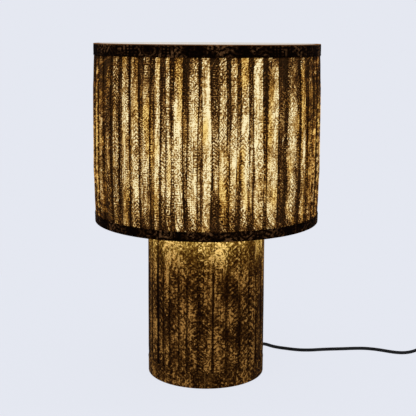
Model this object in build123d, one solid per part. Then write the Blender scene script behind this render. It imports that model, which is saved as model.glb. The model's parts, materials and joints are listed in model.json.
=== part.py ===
from build123d import *
import math
import os

# Pleated table lamp: a drum shade on a drum base, both covered in pleated printed cloth.
# Millimetres, +Z up, the front towards -Y. The origin is the middle of the foot, on the table.

# Overall sizes
overall_height = 450.0
base_radius = 80.0
base_height = 220.0
shade_low = 215.0
shade_top_radius = 148.0
shade_upper_swell = 2.0
shade_mid_swell = 3.3
shade_bottom_swell = 1.4
clearance = 0.2

# Pleats of the shade, as crest and fold widths across the front, from left to right
shade_front_pleats = (
    (11.5, 6.5),
    (11.5, 5.0),
    (11.0, 7.5),
    (8.5, 7.0),
    (6.0, 9.5),
    (4.5, 6.0),
    (10.0, 7.0),
    (10.5, 6.0),
    (9.5, 11.5),
    (8.5, 5.0),
    (7.0, 5.5),
    (9.0, 8.0),
    (12.0, 7.0),
    (15.0, 15.5),
    (17.0, 9.5),
)
shade_front_start = -50.4
shade_pleat_pitch = 18.0
shade_pleat_depth = 3.0
shade_cloth = 0.6
shade_lean = 0.006
pleat_drop = 0.12
pleat_rise = 0.3
crest_slope = 0.1
fold_slope = 0.2

# Pleats of the base, the same way
base_front_pleats = (
    (11.5, 3.0),
    (9.0, 2.5),
    (10.0, 3.0),
    (11.5, 2.5),
    (9.0, 3.0),
    (12.5, 3.0),
    (15.5, 3.0),
    (15.0, 3.5),
    (15.5, 3.0),
    (14.0, 2.5),
    (13.0, 3.0),
)
base_front_start = -63.9
base_pleat_pitch = 15.0
base_pleat_depth = 1.2
base_cloth = 0.5
base_lean = 0.003

# Shade frame, liner and bindings
liner_wall = 0.6
ring_wire = 3.0
ring_seat = 0.9
binding_wall = 0.9
binding_gap = 0.2
top_binding_drop = 15.5
bottom_binding_rise = 12.5
binding_return = 9.0
cover_tuck = 3.0
shade_waist_low = 285.0
shade_waist_high = 395.0
arm_wire = 3.5
arm_count = 3
arm_start = 90.0
arm_bend = 12.0
arm_shoulder = 14.0
arm_foot = 16.0
arm_inset = 1.0
arm_weld = 0.1
hub_width = 10.5
hub_sheet = 2.0
hub_play = 0.8

# Base tube, boards, weight and foot
tube_wall = 3.0
floor_board = 4.0
lid_board = 6.0
foot_thickness = 2.0
foot_inset = 6.0
weight_gap = 26.6
weight_height = 15.0
weight_chamfer = 1.5
bolt_radius = 4.0
bolt_head_radius = 7.4
bolt_head_depth = 3.4
bolt_spare = 2.0
nut_flats = 13.0
nut_height = 6.5
washer_radius = 12.0
washer_height = 1.6
hem_height = 23.0
hem_wall = 0.5
hem_lift = 1.0
hem_turn = 1.2
cap_band_drop = 12.0
cap_band_reach = 9.0

# Threaded tube that carries the lampholder
nipple_radius = 5.0
nipple_bore = 3.2
nipple_below = 15.0
nipple_above = 7.0
nipple_nut_flats = 14.0
nipple_nut_height = 4.0
nipple_washer_radius = 10.0
nipple_washer_height = 1.5
thread_clearance = 0.1

# Screw lampholder with two shade rings
holder_radius = 19.5
holder_wall = 2.0
holder_cap_height = 17.0
holder_cap_floor = 3.0
holder_cap_round = 3.0
holder_spigot = 6.0
holder_bore = 16.0
holder_lip = 1.2
holder_lip_height = 3.0
holder_shell_height = 34.0
holder_boss_radius = 8.0
insert_height = 10.0
insert_wire_hole = 1.6
holder_thread_start = 10.0
holder_thread_depth = 0.7
holder_thread_pitch = 2.8
holder_thread_turns = 7
shade_ring_radius = 26.0
shade_ring_height = 4.0
shade_ring_notches = 24
shade_ring_notch_radius = 0.9
shell_wall = 0.5
contact_sheet = 0.6
shell_height = 22.0
shell_flange = 1.4
contact_lift = 1.8
tongue_length = 11.0
tongue_width = 4.0
terminal_length = 4.7
terminal_width = 5.0
terminal_height = 5.0
terminal_in = 9.5
terminal_screw_radius = 1.2
terminal_screw_length = 8.0
terminal_head_radius = 2.0
terminal_head_height = 1.5
core_radius = 1.1
core_spread = 1.3
core_bend = 3.0

# Bulb
bulb_radius = 30.0
bulb_length = 107.0
bulb_neck_radius = 14.0
bulb_neck_turn = 40.0
bulb_glass_wall = 1.0
bulb_cap_radius = 13.1
bulb_thread_depth = 0.9
bulb_thread_pitch = 3.63
bulb_thread_turns = 5
bulb_cap_low = 6.0
bulb_cap_rim = 1.2
bulb_cap_rim_height = 5.0
bulb_cap_sheet = 0.6
bulb_cap_shoulder = 1.0
bulb_cement = 0.05
bulb_tip_radius = 4.5
bulb_tip_height = 2.0
bulb_tip_bevel = 1.5
bulb_tip_bevel_height = 1.0
bulb_insulator_radius = 10.5
bulb_insulator_edge = 2.0
bulb_gap = 0.3
bulb_stem_radius = 4.0
bulb_stem_height = 24.0
bulb_stem_flare = 9.0
bulb_stem_foot = 1.5
filament_count = 4
filament_radius = 0.9
filament_length = 30.0
filament_ring = 9.0
filament_lean = 12.0
filament_drop = 6.0

# Lead, its sleeve and the route that it takes, chosen by hand from the photograph
lead = 4.8
lead_height = 12.5
exit_azimuth = 40.0
sleeve_length = 18.2
sleeve_root_radius = 5.2
sleeve_tip_radius = 3.5
sleeve_flange_radius = 6.2
sleeve_flange = 2.0
sleeve_flange_gap = 0.5
sleeve_collar = 2.0
inner_bend = 14.0
inner_sweep = 40.0
core_tail = 4.0
inner_slack = 0.6
inner_rise = 70.0
inner_join = 170.0
end_straight = 9.5
run_points = (
    (90.0, 74.6, 9.6),
    (98.0, 78.3, 5.6),
    (108.5, 79.6, 3.0),
    (119.5, 77.2, 2.4),
    (130.5, 72.9, 2.4),
    (143.0, 70.4, 2.4),
    (156.5, 70.7, 2.4),
    (170.5, 73.5, 2.4),
    (186.0, 75.5, 2.4),
    (203.0, 76.9, 2.4),
    (220.0, 79.2, 2.4),
    (236.5, 79.6, 2.4),
    (251.0, 75.9, 2.4),
    (263.5, 69.9, 2.4),
    (274.5, 63.8, 2.4),
    (285.2, 60.4, 2.4),
    (295.8, 61.0, 2.5),
    (305.4, 64.4, 3.2),
    (314.4, 68.8, 5.0),
)
link_points = (
    (404.5, 109.5, 5.8),
    (413.5, 112.6, 4.2),
)
tail_points = (
    (413.5, 33.3, 6.9),
    (404.5, 33.9, 6.0),
)

# Switch in the lead
switch_start = (332.0, 77.2)
switch_heading = 25.0
switch_length = 60.0
switch_width = 26.0
switch_height = 17.0
switch_split = 8.5
switch_shell = 1.8
switch_round = 7.0
switch_edge = 1.2
switch_lead_height = 6.5
rocker_length = 21.0
rocker_width = 11.0
rocker_pivot_height = 13.0
rocker_half_travel = 8.0
rocker_slot_gap = 0.5
rocker_proud = 0.4
rocker_depth = 2.6
rocker_pin_radius = 1.0
rocker_pin_clearance = 0.08
rocker_pin_reach = 2.0
rocker_chamfer = 0.9
rocker_keel = 3.0
well_below_pin = 2.5
contact_length = 8.0
contact_spacing = 12.0
contact_leg = 1.6
post_radius = 2.8
screw_radius = 1.4
screw_head_radius = 2.6
screw_head_height = 1.6
screw_spacing = 42.0
screw_inset = 6.0
screw_slot = 0.6
screw_length = 10.0
screw_sink = 0.4

# Coil of spare lead and its tie
coil_centre = (437.0, 76.0)
coil_radius = 37.5
coil_gap = 0.5
coil_half_turns = 7
tie_wall = 0.6
tie_width = 9.0
tie_corner = 1.5
tie_azimuth = 205.0

# Two-pin plug
plug_tip = (386.0, 34.2)
plug_height = 13.7
plug_width = 35.3
plug_rear_width = 16.0
plug_body_length = 35.0
plug_shoulder = 13.0
plug_edge = 2.2
plug_corner = 3.0
plug_boot = 20.0
plug_boot_root = 5.0
plug_boot_tip = 3.6
pin_radius = 2.0
pin_length = 19.0
pin_spacing = 19.0
pin_bare = 9.0
pin_seat = 10.0
pin_tip_round = 1.2
pin_sleeve_radius = 1.8
pin_sleeve_wall = 0.4

# Levels and radii that follow from the sizes above
shade_upper_radius = shade_top_radius + shade_upper_swell
shade_mid_radius = shade_top_radius + shade_mid_swell
shade_bottom_radius = shade_top_radius + shade_bottom_swell
tube_radius = base_radius - base_pleat_depth - base_cloth - clearance - hem_wall
tube_inner = tube_radius - tube_wall
cover_radius = base_radius - hem_wall - clearance
weight_radius = tube_inner - weight_gap
sleeve_inner = tube_inner - sleeve_flange_gap - sleeve_flange
inner_radius = sleeve_inner - inner_slack - inner_bend
floor_low = foot_thickness
floor_high = floor_low + floor_board
lid_high = base_height
lid_low = lid_high - lid_board
holder_low = lid_high + nipple_washer_height
holder_join = holder_low + holder_cap_height
holder_high = holder_join + holder_shell_height
spigot_low = holder_join - holder_spigot
insert_low = spigot_low + holder_lip_height
insert_high = insert_low + insert_height
nipple_top = holder_low + nipple_above
bulb_low = insert_high + contact_lift + bulb_gap
bulb_high = bulb_low + bulb_length
bulb_centre = bulb_high - bulb_radius
cap_high = bulb_low + bulb_cap_low + bulb_thread_turns * bulb_thread_pitch
glass_low = cap_high + bulb_cap_shoulder
hub_low = holder_join + holder_thread_start + shade_ring_height
hub_high = hub_low + hub_sheet
hub_bore = holder_radius + hub_play
hub_radius = hub_bore + hub_width
liner_radius = shade_top_radius - shade_pleat_depth - shade_cloth - clearance
liner_inner = liner_radius - liner_wall
ring_radius = liner_inner - clearance - ring_wire / 2
ring_low = shade_low + binding_wall + ring_seat + ring_wire / 2
ring_high = overall_height - binding_wall - ring_seat - ring_wire / 2
binding_inner = ring_radius - ring_wire / 2 - clearance - binding_wall
upward = (Align.CENTER, Align.CENTER, Align.MIN)
downward = (Align.CENTER, Align.CENTER, Align.MAX)


def disc(radius, low, high):
    """A round plate or bar about the lamp's axis, between two heights."""
    return Pos(0, 0, low) * Cylinder(radius, high - low, align=upward)


def tube(outer, inner, low, high):
    """A round wall about the lamp's axis."""
    return disc(outer, low, high) - disc(inner, low - 1, high + 1)


def turned(outline):
    """A solid turned about the lamp's axis from a closed outline of radius and height."""
    return revolve(make_face(Polyline(*[(r, 0, z) for r, z in outline], close=True)), Axis.Z)


def hexagon(flats, low, high, bore):
    """A hexagon nut about the lamp's axis."""
    blank = extrude(RegularPolygon(flats / 2, 6, major_radius=False), high - low)
    return Pos(0, 0, low) * blank - disc(bore, low - 1, high + 1)


def swept(path, radius):
    """A round rod or lead along a path."""
    return sweep(Plane(origin=path @ 0, z_dir=path % 0) * Circle(radius), path=path)


def corner_radii(points):
    """The largest even arc at each corner of a route: 0.45 of its shorter run."""
    radii = []
    for before, corner, after in zip(points, points[1:], points[2:]):
        first = Vector(corner) - Vector(before)
        second = Vector(after) - Vector(corner)
        half_turn = math.radians(first.get_angle(second)) / 2
        radii.append(0.45 * min(first.length, second.length) / math.tan(half_turn))
    return radii


def route(points):
    """Straight runs through the points, joined by tangent arcs as large as the runs allow."""
    return FilletPolyline(*points, radius=corner_radii(points))


def pleat_edges(front, start, pitch, radius):
    """Angles from the front where each pleat's crest begins and ends, all round."""
    round_length = 2 * math.pi * radius
    left = round_length - sum(crest + fold for crest, fold in front)
    count = round(left / pitch)
    share = sum(crest for crest, _ in front) / sum(crest + fold for crest, fold in front)
    others = []
    for i in range(count):
        width = pitch * (1 + 0.22 * math.sin(2.3 * i + 0.4) + 0.12 * math.sin(5.1 * i))
        fold = width * (1 - share) * (1 + 0.25 * math.sin(3.7 * i + 1.0))
        others.append((width - fold, fold))
    fit = left / sum(crest + fold for crest, fold in others)
    pleats = list(front) + [(crest * fit, fold * fit) for crest, fold in others]
    edges = []
    place = math.radians(start) * radius
    for crest, fold in pleats:
        edges.append((place / radius, (place + crest) / radius))
        place += crest + fold
    return edges


def pleated_wire(edges, radius, depth, height, lean):
    """One level of a pleated cover: each pleat has a crest, drops at its fold and rises again."""
    points = []
    for i, (left, right) in enumerate(edges):
        following = edges[(i + 1) % len(edges)][0] + (2 * math.pi if i + 1 == len(edges) else 0)
        sway = lean * math.sin(1.9 * i + height / 60)
        drop = right + pleat_drop * (following - right)
        rise = following - pleat_rise * (following - right)
        corners = (
            (left, radius),
            (right, radius - crest_slope * depth),
            (drop, radius - depth),
            (rise, radius - (1 - fold_slope) * depth),
        )
        for angle, r in corners:
            points.append((r * math.sin(angle + sway), -r * math.cos(angle + sway), height))
    return Wire.make_polygon(points, close=True)


def pleated_cover(edges, levels, depth, cloth, lean):
    """A pleated skin through levels of height and radius, hollow inside."""
    wires = [pleated_wire(edges, radius, depth, height, lean) for height, radius in levels]
    inside = [(radius - depth - cloth, height) for height, radius in levels]
    low = (inside[0][0], levels[0][0] - 1)
    high = (inside[-1][0], levels[-1][0] + 1)
    core = turned([(0, low[1]), low] + inside + [high, (0, high[1])])
    return Solid.make_loft(wires, ruled=True) - core


def place_switch(piece):
    """Moves a switch piece from its own frame, lead entering at the origin along +X."""
    return Pos(switch_start[0], switch_start[1], 0) * Rot(0, 0, switch_heading) * piece


def switch_point(along, height):
    """A point on the switch's centre line, in the lamp's frame."""
    turn = math.radians(switch_heading)
    return (switch_start[0] + along * math.cos(turn), switch_start[1] + along * math.sin(turn), height)


def place_plug(piece):
    """Moves a plug piece from its own frame, pins along +X and the boot's tip at the origin."""
    return Pos(plug_tip[0], plug_tip[1], plug_height / 2) * Rot(0, 0, 180) * piece


# Base
def foot_pad():
    return disc(tube_radius - foot_inset, 0, foot_thickness)


def base_floor():
    hole = disc(bolt_radius + clearance, 0, base_height)
    mouth = bolt_head_radius + clearance
    deep = floor_low + bolt_head_depth + clearance
    below = floor_low - 1
    seat = turned([(0, below), (mouth, below), (mouth, floor_low), (bolt_radius, deep), (0, deep)])
    return disc(tube_inner, floor_low, floor_high) - hole - seat


def exit_bore(radius):
    """The hole through the base wall that the sleeve passes."""
    bar = Cylinder(radius, 2 * sleeve_length, rotation=(0, 90, 0))
    return Rot(0, 0, exit_azimuth) * Pos(tube_radius, 0, lead_height) * bar


def base_tube():
    return tube(tube_radius, tube_inner, floor_low, lid_high) - exit_bore(sleeve_root_radius + clearance)


def base_lid():
    hole = disc(nipple_radius + thread_clearance, lid_low - 1, lid_high + 1)
    return disc(tube_inner, lid_low, lid_high) - hole


def base_weight():
    blank = disc(weight_radius, floor_high, floor_high + weight_height)
    blank = chamfer(blank.edges().filter_by(GeomType.CIRCLE), weight_chamfer)
    return blank - disc(bolt_radius + clearance, floor_high - 1, floor_high + weight_height + 1)


def weight_bolt():
    top = floor_high + weight_height + washer_height + nut_height + bolt_spare
    low = floor_low + clearance
    neck = floor_low + bolt_head_depth
    return turned([(0, low), (bolt_head_radius, low), (bolt_radius, neck), (bolt_radius, top), (0, top)])


def weight_washer():
    low = floor_high + weight_height
    return tube(washer_radius, bolt_radius + clearance, low, low + washer_height)


def weight_nut():
    low = floor_high + weight_height + washer_height
    return hexagon(nut_flats, low, low + nut_height, bolt_radius + thread_clearance)


def base_cover():
    edges = pleat_edges(base_front_pleats, base_front_start, base_pleat_pitch, cover_radius)
    levels = [(floor_low, cover_radius), (base_height, cover_radius)]
    skin = pleated_cover(edges, levels, base_pleat_depth, base_cloth, base_lean)
    return skin - exit_bore(sleeve_root_radius + clearance)


def base_hem():
    inner = base_radius - hem_wall
    low = hem_lift
    outline = [
        (inner, low),
        (base_radius - hem_turn / 3, low),
        (base_radius, low + hem_turn),
        (base_radius, hem_height),
        (inner, hem_height),
    ]
    return turned(outline) - exit_bore(sleeve_root_radius + clearance)


def base_cap_band():
    top = base_height + clearance + hem_wall
    inner = base_radius - hem_wall
    low = base_height - cap_band_drop
    reach = tube_radius - cap_band_reach
    under = base_height + clearance
    outline = [
        (inner, low),
        (base_radius, low),
        (base_radius, top),
        (reach, top),
        (reach, under),
        (inner, under),
    ]
    return turned(outline)


# Lampholder and what carries it
def nipple():
    return tube(nipple_radius, nipple_bore, lid_low - nipple_below, nipple_top)


def nipple_nut():
    high = lid_low - nipple_washer_height
    return hexagon(nipple_nut_flats, high - nipple_nut_height, high, nipple_radius + thread_clearance)


def nipple_washers():
    bore = nipple_radius + thread_clearance
    under = tube(nipple_washer_radius, bore, lid_low - nipple_washer_height, lid_low)
    over = tube(nipple_washer_radius, bore, lid_high, holder_low)
    return Compound([under.solid(), over.solid()])


def holder_cap():
    cup = disc(holder_radius, holder_low, holder_join)
    cup = fillet(cup.edges().filter_by(GeomType.CIRCLE).sort_by(Axis.Z)[0], holder_cap_round)
    hollow = disc(holder_radius - holder_wall, holder_low + holder_cap_floor, holder_join + 1)
    boss = disc(holder_boss_radius, holder_low, nipple_top)
    return cup - hollow + boss - disc(nipple_radius + thread_clearance, holder_low - 1, nipple_top + 1)


def holder_shell():
    inner = holder_bore
    spigot = holder_radius - holder_wall - clearance
    lip = inner - holder_lip
    profile = [(lip, spigot_low), (spigot, spigot_low), (spigot, holder_join), (holder_radius, holder_join)]
    for turn in range(holder_thread_turns):
        low = holder_join + holder_thread_start + turn * holder_thread_pitch
        profile.append((holder_radius, low))
        profile.append((holder_radius - holder_thread_depth, low + holder_thread_pitch * 0.25))
        profile.append((holder_radius - holder_thread_depth, low + holder_thread_pitch * 0.5))
        profile.append((holder_radius, low + holder_thread_pitch * 0.75))
    profile += [(holder_radius, holder_high), (inner, holder_high), (inner, insert_low), (lip, insert_low)]
    return turned(profile)


def holder_insert():
    block = disc(holder_bore - clearance, insert_low, insert_high)
    for side in (-1, 1):
        block -= Pos(side * terminal_in, 0, insert_low) * Cylinder(insert_wire_hole, 3 * insert_height)
    return block


def screw_shell():
    inner = bulb_cap_radius + bulb_gap
    outer = inner + shell_wall
    low = insert_high
    top = low + shell_height
    flange = outer + shell_flange
    step = low + shell_wall
    return turned([(inner, low), (flange, low), (flange, step), (outer, step), (outer, top), (inner, top)])


def centre_contact():
    strip = Box(tongue_length, tongue_width, contact_sheet, align=upward)
    raised = Box(tongue_length / 2, tongue_width, contact_lift, align=upward)
    return Pos(0, 0, insert_high) * (strip + raised)


def terminals():
    blocks = []
    middle = insert_low - terminal_height / 2
    for side in (-1, 1):
        at = Pos(side * (terminal_in + terminal_length / 2), 0, middle)
        block = Box(terminal_length, terminal_width, terminal_height)
        hole = Cylinder(terminal_screw_radius + clearance, 2 * terminal_width, rotation=(90, 0, 0))
        blocks.append((at * (block - hole)).solid())
    return Compound(blocks)


def terminal_screws():
    screws = []
    middle = insert_low - terminal_height / 2
    for side in (-1, 1):
        shank = Cylinder(terminal_screw_radius, terminal_screw_length, align=upward)
        head = Cylinder(terminal_head_radius, terminal_head_height, align=downward)
        at = Pos(side * (terminal_in + terminal_length / 2), -terminal_width / 2, middle) * Rot(-90, 0, 0)
        screws.append((at * (shank + head)).solid())
    return Compound(screws)


def core(side):
    """One insulated conductor from the end of the sheath to its terminal."""
    start = nipple_top - core_tail
    level = insert_low - terminal_height / 2
    points = [(side * core_spread, 0, start), (side * core_spread, 0, level), (side * terminal_in, 0, level)]
    return swept(FilletPolyline(*points, radius=[core_bend]), core_radius)


def shade_rings():
    bore = holder_radius + clearance
    rings = []
    for low in (hub_low - shade_ring_height, hub_high):
        ring = tube(shade_ring_radius, bore, low, low + shade_ring_height)
        for i in range(shade_ring_notches):
            notch = Pos(shade_ring_radius, 0, low) * Cylinder(shade_ring_notch_radius, 3 * shade_ring_height)
            ring -= Rot(0, 0, i * 360 / shade_ring_notches) * notch
        rings.append(ring.solid())
    return Compound(rings)


# Shade
def shade_hub():
    return tube(hub_radius, hub_bore, hub_low, hub_high)


def arm_path(angle):
    """The wire of one arm, from under the hub down to the bottom ring."""
    level = hub_low - arm_wire / 2
    end = ring_radius - ring_wire / 2 - arm_weld
    outline = [
        (shade_ring_radius + arm_inset, level),
        (hub_radius + arm_shoulder, level),
        (end - arm_foot, ring_low),
        (end, ring_low),
    ]
    turn = math.radians(angle)
    points = [(r * math.cos(turn), r * math.sin(turn), z) for r, z in outline]
    return FilletPolyline(*points, radius=[arm_bend, arm_bend])


def arm_angles():
    return [arm_start + i * 360 / arm_count for i in range(arm_count)]


def shade_arms():
    return Compound([swept(arm_path(angle), arm_wire / 2).solid() for angle in arm_angles()])


def ring_of_wire(height):
    return Pos(0, 0, height) * Torus(ring_radius, ring_wire / 2)


def shade_liner():
    inset = binding_wall + clearance
    return tube(liner_radius, liner_inner, shade_low + inset, overall_height - inset)


def shade_levels():
    """Heights and crest radii of the pleated cover, which bulges a little between its bindings."""
    low = shade_low + bottom_binding_rise - cover_tuck
    high = overall_height - top_binding_drop + cover_tuck
    return [
        (low, shade_bottom_radius),
        (shade_waist_low, shade_mid_radius),
        (shade_waist_high, shade_upper_radius),
        (high, shade_top_radius),
    ]


def shade_reach(height):
    """The cover's crest radius at a height."""
    levels = shade_levels()
    for (low, first), (high, second) in zip(levels, levels[1:]):
        if height <= high:
            break
    return first + (second - first) * (height - low) / (high - low)


def shade_cover():
    edges = pleat_edges(shade_front_pleats, shade_front_start, shade_pleat_pitch, shade_mid_radius)
    return pleated_cover(edges, shade_levels(), shade_pleat_depth, shade_cloth, shade_lean)


def binding(edge, along, skirt, radius):
    """A cloth binding folded over the rim at height edge; along is 1 upwards or -1 downwards."""
    outer = radius + binding_wall
    under = edge + along * binding_wall
    soft = 0.8 * binding_wall
    return turned(
        [
            (binding_inner, edge + along * soft),
            (binding_inner + soft, edge),
            (outer - soft, edge),
            (outer, edge + along * soft),
            (outer, edge + along * skirt),
            (radius, edge + along * skirt),
            (radius, under),
            (binding_inner + binding_wall, under),
            (binding_inner + binding_wall, edge + along * binding_return),
            (binding_inner, edge + along * binding_return),
        ]
    )


def shade_top_binding():
    radius = shade_reach(overall_height - top_binding_drop) + binding_gap
    return binding(overall_height, -1, top_binding_drop, radius)


def shade_bottom_binding():
    radius = shade_reach(shade_low + bottom_binding_rise) + binding_gap
    band = binding(shade_low, 1, bottom_binding_rise, radius)
    for angle in arm_angles():
        band -= swept(arm_path(angle), arm_wire / 2 + clearance)
    return band


# Bulb
def bulb_wall(offset):
    """Half outline of the glass, moved inwards by offset, and the point where its neck turns straight."""
    globe = bulb_radius - offset
    neck = bulb_neck_radius - offset
    turn = math.radians(bulb_neck_turn)
    bend = (bulb_radius * math.cos(turn) - bulb_neck_radius) / (1 - math.cos(turn)) + offset
    start = (globe * math.cos(turn), 0, bulb_centre - globe * math.sin(turn))
    crown = (0, 0, bulb_centre + globe)
    side = (globe * math.cos(turn / 2), 0, bulb_centre + globe * math.sin(turn / 2))
    across = neck + bend
    level = start[2] - bend * math.sin(turn)
    half = turn / 2
    foot = (neck, 0, level)
    between = (across - bend * math.cos(half), 0, level + bend * math.sin(half))
    return [ThreePointArc(crown, side, start), ThreePointArc(start, between, foot)], foot


def bulb_blank(offset, low):
    """The solid inside one wall line of the glass, down to a height."""
    arcs, foot = bulb_wall(offset)
    crown = (0, 0, bulb_centre + bulb_radius - offset)
    closing = Polyline(foot, (foot[0], 0, low), (0, 0, low), crown)
    return revolve(make_face(arcs + [closing]), Axis.Z)


def bulb_glass():
    return bulb_blank(0, glass_low) - bulb_blank(bulb_glass_wall, glass_low - 1)


def bulb_cap():
    low = bulb_low + bulb_cap_low
    valley = bulb_cap_radius - bulb_thread_depth
    outline = [(bulb_insulator_radius, low), (valley, low)]
    for turn in range(bulb_thread_turns):
        level = low + turn * bulb_thread_pitch
        outline.append((bulb_cap_radius, level + bulb_thread_pitch * 0.3))
        outline.append((bulb_cap_radius, level + bulb_thread_pitch * 0.6))
        outline.append((valley, level + bulb_thread_pitch * 0.9))
    rim = bulb_neck_radius + bulb_cap_rim
    seat = bulb_neck_radius + bulb_cement
    rim_high = glass_low + bulb_cap_rim_height
    inside = valley - bulb_cap_sheet
    floor = low + bulb_cap_sheet
    outline += [(rim, glass_low), (rim, rim_high), (seat, rim_high), (seat, glass_low)]
    outline += [(inside, cap_high - bulb_cap_sheet), (inside, floor), (bulb_insulator_radius, floor)]
    return turned(outline)


def bulb_insulator():
    low = bulb_low + bulb_tip_height
    high = bulb_low + bulb_cap_low + bulb_cap_sheet
    wide = bulb_insulator_radius
    edge = high - bulb_insulator_edge
    return turned([(0, low), (bulb_tip_radius, low), (wide, edge), (wide, high), (0, high)])


def bulb_tip():
    low = bulb_low
    high = low + bulb_tip_height
    narrow = bulb_tip_radius - bulb_tip_bevel
    side = low + bulb_tip_bevel_height
    return turned([(0, low), (narrow, low), (bulb_tip_radius, side), (bulb_tip_radius, high), (0, high)])


def bulb_stem():
    low = glass_low
    flare = bulb_neck_radius - bulb_glass_wall - bulb_cement
    top = low + bulb_stem_height
    neck = low + bulb_stem_flare
    outline = [
        (0, low),
        (flare, low),
        (flare, low + bulb_stem_foot),
        (bulb_stem_radius, neck),
        (bulb_stem_radius, top),
        (0, top),
    ]
    return turned(outline)


def bulb_filaments():
    low = glass_low + bulb_stem_height - filament_drop
    rods = []
    for i in range(filament_count):
        rod = Cylinder(filament_radius, filament_length, align=upward)
        inner = bulb_stem_radius + thread_clearance
        foot = Cylinder(filament_radius, filament_ring - inner, rotation=(0, 90, 0))
        lift = Pos(filament_ring, 0, low) * Rot(0, filament_lean, 0) * rod
        foot = Pos((filament_ring + inner) / 2, 0, low + filament_radius) * foot
        rods.append((Rot(0, 0, 45 + i * 360 / filament_count) * (lift + foot)).solid())
    return Compound(rods)


# Lead
def lead_sleeve():
    profile = [
        (lead / 2 + thread_clearance, sleeve_inner),
        (sleeve_flange_radius, sleeve_inner),
        (sleeve_flange_radius, sleeve_inner + sleeve_flange),
        (sleeve_root_radius, sleeve_inner + sleeve_flange),
        (sleeve_root_radius, base_radius + sleeve_collar),
        (sleeve_tip_radius, base_radius + sleeve_length),
        (lead / 2 + thread_clearance, base_radius + sleeve_length),
    ]
    return Rot(0, 0, exit_azimuth) * Pos(0, 0, lead_height) * Rot(0, 90, 0) * turned(profile)


def inner_lead():
    """The sheathed lead inside the lamp, from the sleeve's tip up into the threaded tube."""
    turn = math.radians(exit_azimuth)
    outline = [
        (base_radius + sleeve_length, lead_height),
        (inner_radius, lead_height),
        (inner_radius, inner_rise),
        (0, inner_join),
        (0, nipple_top - core_tail),
    ]
    points = [(r * math.cos(turn), r * math.sin(turn), z) for r, z in outline]
    return swept(FilletPolyline(*points, radius=[inner_bend, inner_sweep, inner_sweep]), lead / 2)


def exit_point(reach):
    """A point on the sleeve's axis, at a distance from the lamp's axis."""
    turn = math.radians(exit_azimuth)
    return (reach * math.cos(turn), reach * math.sin(turn), lead_height)


def run_route():
    mouth = base_radius + sleeve_length
    first = [exit_point(mouth), exit_point(mouth + end_straight)]
    last = [switch_point(-end_straight, switch_lead_height), switch_point(0, switch_lead_height)]
    return first + list(run_points) + last


def coil_level():
    return tie_wall + clearance / 2 + lead / 2


def coil_entry():
    """Where the coil's straight ends begin and finish."""
    pitch = lead + coil_gap
    start = (coil_centre[0] - lead, coil_centre[1] + coil_radius, coil_level())
    end = (coil_centre[0] - lead, coil_centre[1] - coil_radius - pitch, coil_level() + pitch)
    return start, end


def link_route():
    leave = switch_length + end_straight
    first = [switch_point(switch_length, switch_lead_height), switch_point(leave, switch_lead_height)]
    x, y, z = coil_entry()[0]
    return first + list(link_points) + [(x - end_straight, y, z), (x, y, z)]


def tail_route():
    x, y, z = coil_entry()[1]
    plug_level = plug_height / 2
    last = [(plug_tip[0] + end_straight, plug_tip[1], plug_level), (plug_tip[0], plug_tip[1], plug_level)]
    return [(x, y, z), (x - end_straight, y, z)] + list(tail_points) + last


def coil_edges():
    """The coil as half turns, clockwise from above: in on the table, up one layer, and out again on top."""
    pitch = lead + coil_gap
    x, y = coil_centre
    z = coil_level()
    side = 1
    place = y + coil_radius
    edges = [Edge.make_line((x - lead, place, z), (x, place, z))]
    radii = [coil_radius - i * pitch / 2 for i in range(coil_half_turns)]
    inner = coil_radius - coil_half_turns * pitch / 2
    for radius in radii + [inner] + radii[::-1]:
        centre = place - side * radius
        following = centre - side * radius
        if radius == inner:
            rise = z + pitch
            start, end = Vector(x, place, z), Vector(x, following, rise)
            quarter = (start + end) / 2 + Vector(side * (end - start).length / 2, 0, 0)
            edges.append(Edge.make_tangent_arc(start, Vector(side, 0, 0), quarter))
            edges.append(Edge.make_tangent_arc(quarter, end - start, end))
            z = rise
        else:
            over = (x + side * radius, centre, z)
            edges.append(Edge.make_three_point_arc((x, place, z), over, (x, following, z)))
        place = following
        side = -side
    edges.append(Edge.make_line((x, place, z), (x - lead, place, z)))
    return edges


def least_gap(edges, step=1.5):
    """The least space between the coil's own turns, measured on points along it."""
    points = []
    travelled = 0.0
    for edge in edges:
        count = max(2, round(edge.length / step))
        for i in range(count):
            points.append((edge @ (i / count), travelled + edge.length * i / count))
        travelled += edge.length
    least = math.inf
    for i, (here, at) in enumerate(points):
        for there, other in points[i + 1 :]:
            if other - at > 5 * lead:
                least = min(least, (there - here).length)
    return least - lead


def lead_coil():
    return swept(Wire(coil_edges()), lead / 2)


def coil_tie():
    """A strap round the bundle of turns on one side of the coil."""
    pitch = lead + coil_gap
    low = coil_level() - lead / 2 - clearance / 2
    high = coil_level() + pitch + lead / 2 + clearance / 2
    inner = coil_radius - coil_half_turns * pitch / 2 - lead / 2 - 3 * clearance
    outer = coil_radius + pitch + lead / 2 + 3 * clearance
    middle = Pos((inner + outer) / 2, 0, (low + high) / 2)
    hole = middle * Box(outer - inner, tie_width + 2, high - low)
    strap = middle * Box(outer - inner + 2 * tie_wall, tie_width, high - low + 2 * tie_wall)
    strap = fillet(strap.edges().filter_by(Axis.Y), tie_corner)
    return Pos(coil_centre[0], coil_centre[1], 0) * Rot(0, 0, tie_azimuth) * (strap - hole)


# Switch
def switch_block(low, high):
    middle = switch_length / 2
    plan = Pos(middle, 0) * RectangleRounded(switch_length, switch_width, switch_round)
    return Pos(0, 0, low) * extrude(plan, high - low)


def switch_cavity(low, high):
    inset = switch_shell
    middle = switch_length / 2
    length = switch_length - 2 * inset
    width = switch_width - 2 * inset
    plan = Pos(middle, 0) * RectangleRounded(length, width, switch_round - inset)
    return Pos(0, 0, low) * extrude(plan, high - low)


def lead_bore(radius):
    middle = switch_length / 2
    return Pos(middle, 0, switch_lead_height) * Cylinder(radius, 2 * switch_length, rotation=(0, 90, 0))


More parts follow.
